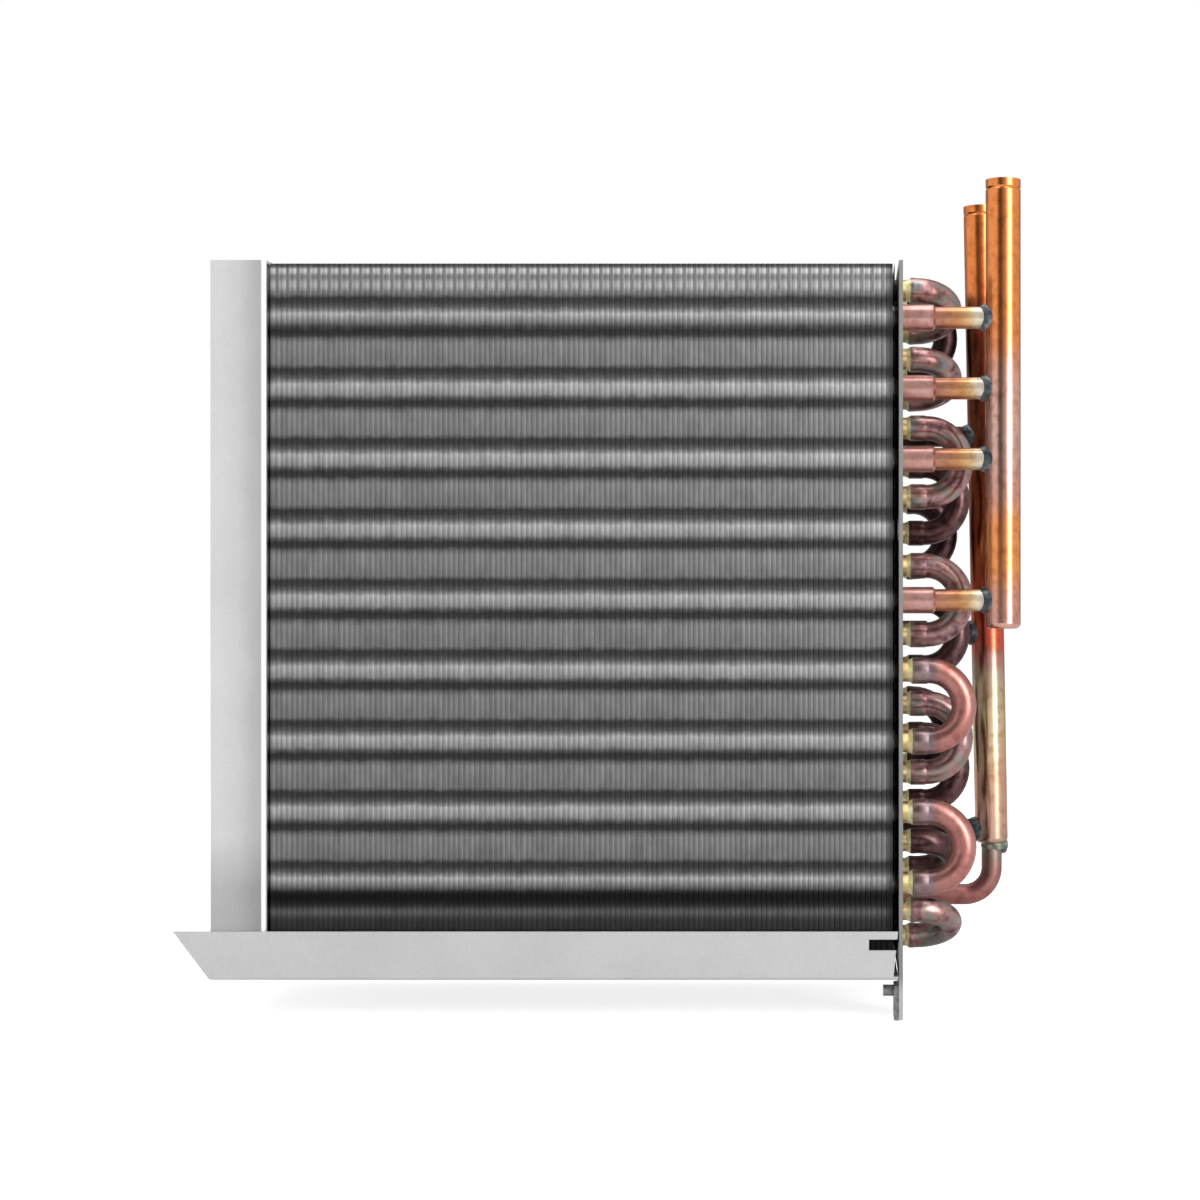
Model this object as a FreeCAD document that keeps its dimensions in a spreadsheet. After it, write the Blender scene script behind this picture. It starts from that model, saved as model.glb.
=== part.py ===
"""Upright fin-and-tube coil: 38 tubes through 121 fins, with return bends and two headers on the right.

Frame: X to the right along the tubes, Y to the back through the fins, Z up. The origin is the centre
of the underside of the bottom angle, below the middle of the fin pack. Rows are counted from the
front and tubes from the top, so tube (1, 0) is the uppermost tube of the front row.
"""

import FreeCAD, Part
import math
import os
import Sketcher

Vector = FreeCAD.Vector

# How closely an edge has to lie where it is looked for
SAME_PLACE = 1e-4

# Driving sizes in millimetres, degrees or pieces
SIZES = [
    ("row_count", 4, "rows of tubes from front to back"),
    ("tubes_per_row", 10, "tube places in a row"),
    ("tube_spacing", 25.4, "height from one tube to the next in a row"),
    ("fin_count", 121, "fins in the pack"),
    ("fin_spacing", 1.855, "distance from fin to fin"),
    ("fin_thickness", 0.4, "thickness of a fin"),
    ("fin_gap_depth", 5.0, "how far the gaps between fins reach in at the front and back"),
    ("fin_end_depth", 1.2, "how far the gaps reach in at the top and bottom"),
    ("tube_od", 7.94, "outer diameter of a hairpin tube"),
    ("tube_wall", 0.7, "wall of feeders and supply tube"),
    ("tube_sides", 12, "flats round a repeated tube"),
    ("bend_flats", 6, "flats along a half turn of a repeated bend"),
    ("fitting_od", 9.525, "outer diameter of return bends and belled ends"),
    ("fit_clearance", 0.05, "gap between a tube and what it fits in"),
    ("bore_clearance", 0.15, "gap between a tube and its hole in a plate or fin"),
    ("stub_length", 3.6, "bare tube between the tube sheet and a return bend"),
    ("socket_depth", 4.0, "how far a tube end sits in its fitting"),
    ("long_leg", 6.0, "straight end of the return bends in the rows with bare ends"),
    ("short_leg", 2.0, "straight end of the other return bends"),
    ("end_plate_thickness", 1.3, "sheet of the left end plate"),
    ("end_flange_width", 18.5, "width of the flanges of the left end plate"),
    ("tube_sheet_thickness", 1.4, "sheet of the right tube sheet"),
    ("tube_sheet_gap", 1.35, "gap between the last fin and the right tube sheet"),
    ("plate_overhang", 1.0, "how far both plates stand out from the fins, front and back"),
    ("tab_drop", 14.3, "how far the tab reaches below the bottom angle"),
    ("tab_depth", 25.0, "depth of the tab from its front edge"),
    ("tab_hole", 3.2, "screw hole through the tab"),
    ("angle_thickness", 1.2, "sheet of the bottom angle"),
    ("angle_end_gap", 0.4, "gap between the bottom angle and the tube sheet"),
    ("angle_fold_radius", 1.2, "outer radius of the fold in the bottom angle"),
    ("seat_gap", 0.1, "clearance between pieces that sit on each other"),
    ("lip_height", 17.2, "height of the front lip of the bottom angle"),
    ("lip_point", 13.0, "how far the lip's upper left corner runs past its lower one"),
    ("lip_end_slant", 1.7, "how far the lip's lower right corner is cut back"),
    ("slot_length", 10.3, "slot at the right end of the lip"),
    ("slot_width", 3.9, "height of that slot"),
    ("slot_height", 12.5, "height of the middle of that slot"),
    ("fold_radius", 1.5, "outer radius of the folds in the left end plate"),
    ("header_od", 12.7, "outer diameter of both headers"),
    ("header_wall", 0.9, "wall of both headers"),
    ("header_rim", 3.3, "distance of the rim groove from a header's open end"),
    ("rim_groove", 0.3, "depth of the rim groove"),
    ("rim_groove_width", 1.2, "width of the rim groove"),
    ("header_cap_flat", 8.7, "flat across the front header's closed end, inside its rounding"),
    ("header_end_land", 0.33, "flat ring between the rear header's end rounding and the supply tube"),
    ("header_distance", 36.35, "front header's axis from the outer face of the tube sheet"),
    ("front_header_rise", 30.5, "height of the front header's open end above the fins"),
    ("front_header_drop", 10.25, "distance of its closed end below its lowest feeder"),
    ("rear_header_rise", 32.2, "height of the rear header's open end above the fins"),
    ("rear_header_drop", 5.25, "distance of its lower end below its lowest feeder"),
    ("rear_header_lean", 1.08, "lean of the rear header towards the fins, in degrees"),
    ("rear_header_distance", 36.6, "rear header's axis from the tube sheet at its lower end"),
    ("feeder_bell", 11.1, "length of a feeder's belled end"),
    ("feeder_socket", 8.0, "how deep that end is bored for the hairpin"),
    ("supply_radius", 10.5, "bend radius of the supply tube"),
    ("nut_plate_height", 12.2, "height of the nut plate on the tab"),
    ("nut_plate_depth", 12.0, "depth of the nut plate"),
    ("nut_plate_thickness", 1.7, "thickness of the nut plate"),
    ("nut_plate_top", 2.8, "distance of the nut plate's upper edge below the bottom angle"),
    ("nut_plate_inset", 3.0, "distance of the nut plate from the front edge of the tab"),
    ("nut_boss_drop", 5.2, "distance of the middle of the boss below the bottom angle"),
    ("nut_boss_od", 4.0, "outer diameter of the nut plate's boss"),
    ("nut_boss_length", 3.8, "length of that boss"),
    ("nut_boss_bore", 2.6, "threaded hole through the boss"),
]

# Rows whose return bends have long ends, and the bends on the right as pairs of (row, tube)
LONG_ROWS = (1, 2, 3)
RETURN_BENDS = [
    ((2, 0), (3, 0)), ((2, 1), (3, 1)), ((2, 8), (3, 8)), ((2, 9), (3, 9)),
    ((1, 5), (1, 6)), ((1, 7), (1, 8)),
    ((2, 2), (2, 3)), ((2, 4), (2, 5)), ((2, 6), (2, 7)),
    ((3, 2), (3, 3)), ((3, 4), (3, 5)), ((3, 6), (3, 7)),
    ((4, 0), (4, 1)), ((4, 3), (4, 4)), ((4, 6), (4, 7)),
]

# Hairpins, each with its half turn on the left, in the order of the four circuits
HAIRPINS = [
    ((1, 0), (2, 0)), ((3, 0), (4, 0)), ((4, 1), (4, 2)),
    ((1, 1), (2, 1)), ((3, 1), (3, 2)), ((3, 3), (4, 3)), ((4, 4), (4, 5)),
    ((1, 2), (2, 2)), ((2, 3), (2, 4)), ((2, 5), (3, 4)), ((3, 5), (4, 6)), ((4, 7), (4, 8)),
    ((1, 4), (1, 5)), ((1, 6), (2, 6)), ((2, 7), (3, 6)), ((3, 7), (3, 8)), ((2, 8), (1, 7)),
    ((1, 8), (2, 9)), ((3, 9), (4, 9)),
]

# Tubes that the headers feed, and the one that the supply tube feeds
FRONT_FEEDERS = [(1, 0), (1, 1), (1, 2), (1, 4)]
REAR_FEEDERS = [(4, 2), (4, 5), (4, 8)]
SUPPLY_TUBE = (4, 9)

doc = FreeCAD.newDocument("fin_and_tube_coil")
sheet = doc.addObject("Spreadsheet::Sheet", "sizes")
for line, (alias, size, meaning) in enumerate(SIZES, 1):
    sheet.set(f"A{line}", alias)
    sheet.set(f"B{line}", str(size))
    sheet.set(f"C{line}", meaning)
    sheet.setAlias(f"B{line}", alias)
doc.recompute()


def value(expression):
    """The number that an expression in the sheet's sizes gives now."""
    return float(sheet.evalExpression(expression))


# Places that several pieces share, as expressions in the sheet's sizes. The rows are as far apart as
# makes each tube as far from its neighbours in the next row as from those in its own.
ZERO = "0"
ROW_SPACING = "(sizes.tube_spacing * cos(30))"
PACK_WIDTH = "(sizes.fin_spacing * (sizes.fin_count - 1) + sizes.fin_thickness)"
PACK_DEPTH = f"({ROW_SPACING} * sizes.row_count)"
PACK_HEIGHT = "(sizes.tube_spacing * sizes.tubes_per_row)"
FIN_BOTTOM = "(sizes.angle_thickness + sizes.seat_gap)"
FIN_TOP = f"({FIN_BOTTOM} + {PACK_HEIGHT})"
FRONT = f"(-{PACK_DEPTH} / 2 - sizes.plate_overhang)"
BACK = f"({PACK_DEPTH} / 2 + sizes.plate_overhang)"
END_PLATE_INSIDE = f"(-{PACK_WIDTH} / 2 - sizes.seat_gap)"
END_PLATE_OUTSIDE = f"({END_PLATE_INSIDE} - sizes.end_plate_thickness)"
TUBE_SHEET_INSIDE = f"({PACK_WIDTH} / 2 + sizes.tube_sheet_gap)"
TUBE_SHEET_OUTSIDE = f"({TUBE_SHEET_INSIDE} + sizes.tube_sheet_thickness)"
ANGLE_RIGHT = f"({TUBE_SHEET_INSIDE} - sizes.angle_end_gap)"
ANGLE_LEFT = f"({END_PLATE_OUTSIDE} - sizes.end_flange_width)"
LIP_FRONT = f"({FRONT} - sizes.seat_gap - sizes.angle_thickness)"
BORE_RADIUS = "(sizes.tube_od / 2 + sizes.bore_clearance)"
SEAT_RADIUS = "(sizes.tube_od / 2 + sizes.fit_clearance)"
HEADER_X = f"({TUBE_SHEET_OUTSIDE} + sizes.header_distance)"
REAR_HEADER_X = f"({TUBE_SHEET_OUTSIDE} + sizes.rear_header_distance)"
WALL_MIDDLE = "((sizes.header_od - sizes.header_wall) / 2)"
FRONT_END_ROUNDING = "(sizes.header_od / 2 - sizes.header_cap_flat / 2)"
REAR_END_ROUNDING = f"(sizes.header_od / 2 - {SEAT_RADIUS} - sizes.header_end_land)"
BOSS_PLACE = (f"({FRONT} + sizes.nut_plate_inset + sizes.nut_plate_depth / 2)", "(-sizes.nut_boss_drop)")


def row_y(row):
    """Depth of a row of tubes."""
    return f"({ROW_SPACING} * ({row} - (sizes.row_count + 1) / 2))"


def tube_z(row, place):
    """Height of a tube: even rows lie half a spacing higher than odd ones."""
    quarter = 1 if row % 2 else 3
    return f"({FIN_BOTTOM} + sizes.tube_spacing * (sizes.tubes_per_row - 1 - {place} + {quarter} / 4))"


FRONT_HEADER_ENDS = (
    f"({tube_z(*FRONT_FEEDERS[-1])} - sizes.front_header_drop)", f"({FIN_TOP} + sizes.front_header_rise)",
)
REAR_HEADER_ENDS = (
    f"({tube_z(*REAR_FEEDERS[-1])} - sizes.rear_header_drop)", f"({FIN_TOP} + sizes.rear_header_rise)",
)


def origin_part(body, role):
    """A plane or axis of the body's own origin."""
    return next(item for item in body.Origin.OriginFeatures if item.Role == role)


def new_body(label):
    return doc.addObject("PartDesign::Body", label)


def new_sketch(body, name, role, offset):
    """An empty sketch on one of the body's planes, moved along the plane's normal."""
    sketch = body.newObject("Sketcher::SketchObject", name)
    sketch.AttachmentSupport = [(origin_part(body, role), "")]
    sketch.MapMode = "FlatFace"
    sketch.setExpression("AttachmentOffset.Base.z", offset)
    return sketch


def bind_point(sketch, geometry, point, place):
    """Hold a point of the sketch at a place that is given by two expressions."""
    for axis, expression in zip(("DistanceX", "DistanceY"), place):
        held = Sketcher.Constraint(axis, -1, 1, geometry, point, value(expression))
        index = sketch.addConstraint(held)
        sketch.setExpression(f"Constraints[{index}]", expression)


def polygon_sketch(body, name, role, corners, offset="0", closed=True):
    """A sketch of straight lines through corners that are given as pairs of expressions."""
    sketch = new_sketch(body, name, role, offset)
    points = [Vector(value(across), value(up), 0) for across, up in corners]
    ends = points[1:] + points[:1] if closed else points[1:]
    for start, end in zip(points, ends):
        sketch.addGeometry(Part.LineSegment(start, end), False)
    lines = len(ends)
    for index in range(lines if closed else lines - 1):
        sketch.addConstraint(Sketcher.Constraint("Coincident", index, 2, (index + 1) % lines, 1))
    for index in range(lines):
        bind_point(sketch, index, 1, corners[index])
    if not closed:
        bind_point(sketch, lines - 1, 2, corners[-1])
    return sketch


def circle_sketch(body, name, role, circles, offset="0"):
    """A sketch of circles, each given by expressions for its centre and radius."""
    sketch = new_sketch(body, name, role, offset)
    for index, (across, up, radius) in enumerate(circles):
        centre = Vector(value(across), value(up), 0)
        sketch.addGeometry(Part.Circle(centre, Vector(0, 0, 1), value(radius)), False)
        bind_point(sketch, index, 3, (across, up))
        held = sketch.addConstraint(Sketcher.Constraint("Radius", index, value(radius)))
        sketch.setExpression(f"Constraints[{held}]", radius)
    return sketch


def rectangle(left, right, low, high):
    return [(left, low), (right, low), (right, high), (left, high)]


def pad(body, name, sketch, length):
    """A pad of the sketch along the plane's normal."""
    feature = body.newObject("PartDesign::Pad", name)
    feature.Profile = sketch
    feature.setExpression("Length", length)
    return feature


def cut_through(body, name, sketch):
    """A cut of the sketch through the whole body, to both sides of the sketch."""
    feature = body.newObject("PartDesign::Pocket", name)
    feature.Profile = sketch
    feature.Type = "ThroughAll"
    feature.Midplane = True
    return feature


def repeat(body, name, feature, axis, length, count):
    """Copies of a feature in line along one of the body's axes."""
    pattern = body.newObject("PartDesign::LinearPattern", name)
    pattern.Originals = [feature]
    pattern.Direction = (origin_part(body, axis), [""])
    pattern.setExpression("Length", length)
    pattern.setExpression("Occurrences", count)
    body.Tip = pattern
    return pattern


def tube_bores(body, offset):
    """One hole for each tube place, as four circles repeated from the lowest place upwards."""
    lowest = value("sizes.tubes_per_row") - 1
    circles = [
        (row_y(row), tube_z(row, int(lowest)), BORE_RADIUS)
        for row in range(1, int(value("sizes.row_count")) + 1)
    ]
    sketch = circle_sketch(body, "lowest_tube_places", "YZ_Plane", circles, offset)
    bores = cut_through(body, "lowest_bores", sketch)
    height = "sizes.tube_spacing * (sizes.tubes_per_row - 1)"
    return repeat(body, "tube_bores", bores, "Z_Axis", height, "sizes.tubes_per_row")


def round_edges(body, name, base, radius, wanted):
    """A fillet on the edges of the base feature whose middle the test accepts."""
    doc.recompute()
    names = [
        f"Edge{number}"
        for number, edge in enumerate(base.Shape.Edges, 1)
        if wanted(edge)
    ]
    fillet = body.newObject("PartDesign::Fillet", name)
    fillet.Base = (base, names)
    fillet.setExpression("Radius", radius)
    body.Tip = fillet
    return fillet


def stands_at(edge, across, depth, direction):
    """Whether an edge runs along the direction and lies at the given X and Y, or Y and Z."""
    start, end = edge.Vertexes[0].Point, edge.Vertexes[-1].Point
    run = (end - start).normalize()
    if abs(abs(run.dot(direction)) - 1) > SAME_PLACE:
        return False
    if direction.z:
        return abs(start.x - across) < SAME_PLACE and abs(start.y - depth) < SAME_PLACE
    return abs(start.y - across) < SAME_PLACE and abs(start.z - depth) < SAME_PLACE


def make_fin_pack():
    """The fins on the solid heart that the tubes run through."""
    body = new_body("fin_pack")
    left = f"-{PACK_WIDTH} / 2"
    heart = rectangle(
        f"-{PACK_DEPTH} / 2 + sizes.fin_gap_depth",
        f"{PACK_DEPTH} / 2 - sizes.fin_gap_depth",
        f"{FIN_BOTTOM} + sizes.fin_end_depth",
        f"{FIN_TOP} - sizes.fin_end_depth",
    )
    pad(body, "heart", polygon_sketch(body, "heart_outline", "YZ_Plane", heart, left), PACK_WIDTH)
    outline = rectangle(f"-{PACK_DEPTH} / 2", f"{PACK_DEPTH} / 2", FIN_BOTTOM, FIN_TOP)
    fin_outline = polygon_sketch(body, "fin_outline", "YZ_Plane", outline, left)
    first = pad(body, "first_fin", fin_outline, "sizes.fin_thickness")
    repeat(body, "fins", first, "X_Axis", "sizes.fin_spacing * (sizes.fin_count - 1)", "sizes.fin_count")
    tube_bores(body, ZERO)
    return body


def make_left_end_plate():
    """A folded sheet with a flange to the left along its front and back edges."""
    body = new_body("left_end_plate")
    sheet_thickness = "sizes.end_plate_thickness"
    channel = [
        (END_PLATE_INSIDE, FRONT),
        (END_PLATE_INSIDE, BACK),
        (ANGLE_LEFT, BACK),
        (ANGLE_LEFT, f"{BACK} - {sheet_thickness}"),
        (END_PLATE_OUTSIDE, f"{BACK} - {sheet_thickness}"),
        (END_PLATE_OUTSIDE, f"{FRONT} + {sheet_thickness}"),
        (ANGLE_LEFT, f"{FRONT} + {sheet_thickness}"),
        (ANGLE_LEFT, FRONT),
    ]
    outline = polygon_sketch(body, "channel_outline", "XY_Plane", channel, FIN_BOTTOM)
    plate = pad(body, "channel", outline, PACK_HEIGHT)
    up = Vector(0, 0, 1)
    folds = [(value(END_PLATE_INSIDE), value(FRONT)), (value(END_PLATE_INSIDE), value(BACK))]
    round_edges(
        body, "folds", plate, "sizes.fold_radius",
        lambda edge: any(stands_at(edge, across, depth, up) for across, depth in folds),
    )
    tube_bores(body, ZERO)
    return body


def make_right_tube_sheet():
    """A flat sheet with a tab that reaches down at the front."""
    body = new_body("right_tube_sheet")
    tab_bottom = "-sizes.tab_drop"
    tab_back = f"{FRONT} + sizes.tab_depth"
    outline = [
        (FRONT, tab_bottom), (tab_back, tab_bottom), (tab_back, ZERO),
        (BACK, ZERO), (BACK, FIN_TOP), (FRONT, FIN_TOP),
    ]
    sketch = polygon_sketch(body, "sheet_outline", "YZ_Plane", outline, TUBE_SHEET_INSIDE)
    pad(body, "sheet", sketch, "sizes.tube_sheet_thickness")
    screw = [BOSS_PLACE + ("sizes.tab_hole / 2",)]
    screw_hole = circle_sketch(body, "screw_circle", "YZ_Plane", screw, TUBE_SHEET_INSIDE)
    cut_through(body, "screw_hole", screw_hole)
    tube_bores(body, ZERO)
    return body


def make_bottom_angle():
    """The folded angle below the fins, with its pointed and slotted front lip."""
    body = new_body("bottom_angle")
    floor = rectangle(ANGLE_LEFT, ANGLE_RIGHT, LIP_FRONT, BACK)
    pad(body, "leg", polygon_sketch(body, "leg_outline", "XY_Plane", floor), "sizes.angle_thickness")
    slot_low = "(sizes.slot_height - sizes.slot_width / 2)"
    slot_high = "(sizes.slot_height + sizes.slot_width / 2)"
    slot_left = f"{ANGLE_RIGHT} - sizes.slot_length"

    def right_edge(height):
        return f"{ANGLE_RIGHT} - sizes.lip_end_slant * (1 - {height} / sizes.lip_height)"

    lip = [
        (ANGLE_LEFT, ZERO),
        (right_edge("0"), ZERO),
        (right_edge(slot_low), slot_low),
        (slot_left, slot_low),
        (slot_left, slot_high),
        (right_edge(slot_high), slot_high),
        (ANGLE_RIGHT, "sizes.lip_height"),
        (f"{ANGLE_LEFT} - sizes.lip_point", "sizes.lip_height"),
    ]
    sketch = polygon_sketch(body, "lip_outline", "XZ_Plane", lip, f"-{LIP_FRONT} - sizes.angle_thickness")
    folded = pad(body, "lip", sketch, "sizes.angle_thickness")
    along = Vector(1, 0, 0)
    round_edges(
        body, "fold", folded, "sizes.angle_fold_radius",
        lambda edge: stands_at(edge, value(LIP_FRONT), 0, along),
    )
    return body


def header_profile(length, end_bore):
    """Half section of a header about its own axis, from its lower end at zero to its open end."""
    outer = "sizes.header_od / 2"
    inner = "sizes.header_od / 2 - sizes.header_wall"
    groove = f"{length} - sizes.header_rim"
    return [
        (end_bore, ZERO),
        (outer, ZERO),
        (outer, f"{groove} - sizes.rim_groove_width / 2"),
        (f"{outer} - sizes.rim_groove", groove),
        (outer, f"{groove} + sizes.rim_groove_width / 2"),
        (outer, length),
        (inner, length),
        (inner, "sizes.header_wall"),
        (end_bore, "sizes.header_wall"),
    ]


def make_header(label, place, ends, end_bore, rounding, lean, feeders):
    """A header turned about its axis, open above, with a hole for each feeder and any in its lower end."""
    body = new_body(label)
    bottom, top = ends
    length = f"({top} - {bottom})"
    sketch = polygon_sketch(body, "half_section", "XZ_Plane", header_profile(length, end_bore))
    turned = body.newObject("PartDesign::Revolution", "turned")
    turned.Profile = sketch
    turned.ReferenceAxis = (sketch, ["V_Axis"])
    turned.Angle = 360

    def is_rim(edge, height, width):
        bounds = edge.BoundBox
        at_height = abs(bounds.ZMax - value(height)) < SAME_PLACE
        return at_height and abs(bounds.XLength - value(width)) < SAME_PLACE

    closed_end = round_edges(
        body, "closed_end", turned, rounding, lambda edge: is_rim(edge, ZERO, "sizes.header_od"),
    )
    inner_width = "sizes.header_od - 2 * sizes.header_wall"
    round_edges(
        body, "closed_end_inside", closed_end, f"{rounding} - sizes.header_wall",
        lambda edge: is_rim(edge, "sizes.header_wall", inner_width),
    )
    holes = [
        (ZERO, f"({tube_z(*feeder)} - {bottom} + {WALL_MIDDLE} * sin({lean})) / cos({lean})", SEAT_RADIUS)
        for feeder in feeders
    ]
    hole_sketch = circle_sketch(body, "feeder_places", "YZ_Plane", holes, "-sizes.header_od")
    hole = body.newObject("PartDesign::Pocket", "feeder_holes")
    hole.Profile = hole_sketch
    hole.Reversed = True
    hole.setExpression("Length", "sizes.header_od")
    body.Tip = hole
    across, depth = place
    body.setExpression("Placement.Base.x", across)
    body.setExpression("Placement.Base.y", depth)
    body.setExpression("Placement.Base.z", bottom)
    body.Placement.Rotation = FreeCAD.Rotation(Vector(0, -1, 0), 1)
    body.setExpression("Placement.Rotation.Angle", lean)
    return body


def make_feeder(label, tube, header_x):
    """A straight tube with a belled end over a hairpin's end and a saddle end in its header's wall."""
    body = new_body(label)
    outer = "sizes.tube_od / 2"
    bore = "sizes.tube_od / 2 - sizes.tube_wall"
    bell = "sizes.fitting_od / 2"
    seat = SEAT_RADIUS
    bell_end = "sizes.feeder_bell"
    shoulder = "sizes.feeder_bell + (sizes.fitting_od - sizes.tube_od) / 2"
    length = f"({header_x} - {TUBE_SHEET_OUTSIDE})"
    start = "sizes.seat_gap"
    socket_end = f"{start} + sizes.feeder_socket"
    profile = [
        (start, seat), (start, bell), (bell_end, bell), (shoulder, outer), (length, outer),
        (length, bore), (socket_end, bore), (socket_end, seat),
    ]
    sketch = polygon_sketch(body, "half_section", "XZ_Plane", profile)
    turned = body.newObject("PartDesign::Revolution", "turned")
    turned.Profile = sketch
    turned.ReferenceAxis = (sketch, ["H_Axis"])
    turned.Angle = 360
    header_circle = [(length, ZERO, WALL_MIDDLE)]
    cut_through(body, "saddle_end", circle_sketch(body, "header_circle", "XY_Plane", header_circle))
    body.setExpression("Placement.Base.x", TUBE_SHEET_OUTSIDE)
    body.setExpression("Placement.Base.y", row_y(tube[0]))
    body.setExpression("Placement.Base.z", tube_z(*tube))
    return body


def make_supply_tube():
    """The tube that leaves the rear header's lower end and turns into the lowest tube of the back row."""
    body = new_body("supply_tube")
    row = SUPPLY_TUBE[0]
    level = tube_z(*SUPPLY_TUBE)
    top = f"({REAR_HEADER_ENDS[0]} + sizes.header_wall)"
    across = REAR_HEADER_X
    path = new_sketch(body, "path", "XZ_Plane", f"-{row_y(row)}")
    radius = "sizes.supply_radius"
    places = {
        "top": (across, top),
        "bend_start": (across, f"{level} + {radius}"),
        "bend_centre": (f"{across} - {radius}", f"{level} + {radius}"),
        "bend_end": (f"{across} - {radius}", level),
        "sheet": (f"{TUBE_SHEET_OUTSIDE} + sizes.feeder_bell", level),
    }
    points = {name: Vector(value(x), value(z), 0) for name, (x, z) in places.items()}
    path.addGeometry(Part.LineSegment(points["top"], points["bend_start"]), False)
    turn = Part.Circle(points["bend_centre"], Vector(0, 0, 1), value(radius))
    path.addGeometry(Part.ArcOfCircle(turn, -math.pi / 2, 0), False)
    path.addGeometry(Part.LineSegment(points["bend_end"], points["sheet"]), False)
    path.addConstraint(Sketcher.Constraint("Coincident", 0, 2, 1, 2))
    path.addConstraint(Sketcher.Constraint("Coincident", 1, 1, 2, 1))
    bind_point(path, 0, 1, places["top"])
    bind_point(path, 1, 3, places["bend_centre"])
    bind_point(path, 0, 2, places["bend_start"])
    bind_point(path, 2, 2, places["sheet"])
    path.addConstraint(Sketcher.Constraint("Vertical", 1, 3, 1, 1))
    ring = [
        (across, row_y(row), "sizes.tube_od / 2"),
        (across, row_y(row), "sizes.tube_od / 2 - sizes.tube_wall"),
    ]
    profile = circle_sketch(body, "section", "XY_Plane", ring, top)
    pipe = body.newObject("PartDesign::AdditivePipe", "pipe")
    pipe.Profile = profile
    pipe.Spine = (path, [])
    doc.recompute()
    start = f"{TUBE_SHEET_OUTSIDE} + sizes.seat_gap"
    bell_end = f"{TUBE_SHEET_OUTSIDE} + sizes.feeder_bell"
    shoulder_start = f"{bell_end} - sizes.tube_wall"
    outside = (row_y(row), level, "sizes.fitting_od / 2")
    socket = (row_y(row), level, SEAT_RADIUS)
    bell_sketch = circle_sketch(body, "bell_section", "YZ_Plane", [outside, socket], start)
    pad(body, "bell", bell_sketch, f"{shoulder_start} - ({start})")
    bore = (row_y(row), level, "sizes.tube_od / 2 - sizes.tube_wall")
    shoulder = circle_sketch(body, "shoulder_section", "YZ_Plane", [outside, bore], shoulder_start)
    pad(body, "shoulder", shoulder, "sizes.tube_wall")
    return body


def make_nut_plate():
    """The small plate with a threaded boss on the inner face of the tab."""
    body = new_body("nut_plate")
    front = f"{FRONT} + sizes.nut_plate_inset"
    outline = rectangle(
        front, f"{front} + sizes.nut_plate_depth",
        "-sizes.nut_plate_top - sizes.nut_plate_height", "-sizes.nut_plate_top",
    )
    inner = f"{TUBE_SHEET_INSIDE} - sizes.nut_plate_thickness"
    plate_sketch = polygon_sketch(body, "plate_outline", "YZ_Plane", outline, inner)
    pad(body, "plate", plate_sketch, "sizes.nut_plate_thickness")
    boss_circle = [BOSS_PLACE + ("sizes.nut_boss_od / 2",)]
    boss = circle_sketch(body, "boss_circle", "YZ_Plane", boss_circle, f"{inner} - sizes.nut_boss_length")
    pad(body, "boss", boss, "sizes.nut_boss_length")
    thread_circle = [BOSS_PLACE + ("sizes.nut_boss_bore / 2",)]
    thread = circle_sketch(body, "thread_circle", "YZ_Plane", thread_circle, inner)
    cut_through(body, "thread_hole", thread)
    return body


def tube_section(name, radius):
    """The flat-sided outline of a repeated tube, facing along X."""
    outline = doc.addObject("Part::RegularPolygon", name)
    outline.setExpression("Polygon", "sizes.tube_sides")
    outline.setExpression("Circumradius", radius)
    outline.Placement.Rotation = FreeCAD.Rotation(Vector(0, 1, 0), 90)
    outline.setExpression("Placement.Base.z", "sizes.tube_spacing / 2")
    return outline


def bend_path(name, leg):
    """A straight leg, a half turn in flats and the other leg, in the XZ plane with the turn to the right."""
    body = new_body(name + "_body")
    flats = int(value("sizes.bend_flats"))
    step = "(180 / sizes.bend_flats)"
    reach = f"(sizes.tube_spacing / 2 / cos({step} / 2))"
    corners = [(ZERO, "sizes.tube_spacing / 2")]
    for flat in range(flats):
        angle = f"({step} * ({flat} + 0.5))"
        corners.append((f"{leg} + {reach} * sin({angle})", f"{reach} * cos({angle})"))
    corners.append((ZERO, "-sizes.tube_spacing / 2"))
    return polygon_sketch(body, name, "XZ_Plane", corners, closed=False)


def swept(name, section, path):
    sweep = doc.addObject("Part::Sweep", name)
    sweep.Sections = [section]
    sweep.Spine = (path, [f"Edge{number}" for number in range(1, len(path.Geometry) + 1)])
    sweep.Solid = True
    sweep.Transition = "Right corner"
    return sweep


def seat_between(piece, first, second, across, turned_left):
    """Place a bend's ends on two tubes of the coil, with the half turn to the right or to the left."""
    (row_a, place_a), (row_b, place_b) = first, second
    piece.setExpression("Placement.Base.x", across)
    piece.setExpression("Placement.Base.y", f"({row_y(row_a)} + {row_y(row_b)}) / 2")
    piece.setExpression("Placement.Base.z", f"({tube_z(row_a, place_a)} + {tube_z(row_b, place_b)}) / 2")
    depth = value(row_y(row_b)) - value(row_y(row_a))
    height = value(tube_z(row_b, place_b)) - value(tube_z(row_a, place_a))
    lean = FreeCAD.Rotation(Vector(1, 0, 0), math.degrees(math.atan2(-depth, height)))
    about = FreeCAD.Rotation(Vector(0, 0, 1), 180) if turned_left else FreeCAD.Rotation()
    piece.Placement.Rotation = lean.multiply(about)


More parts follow.
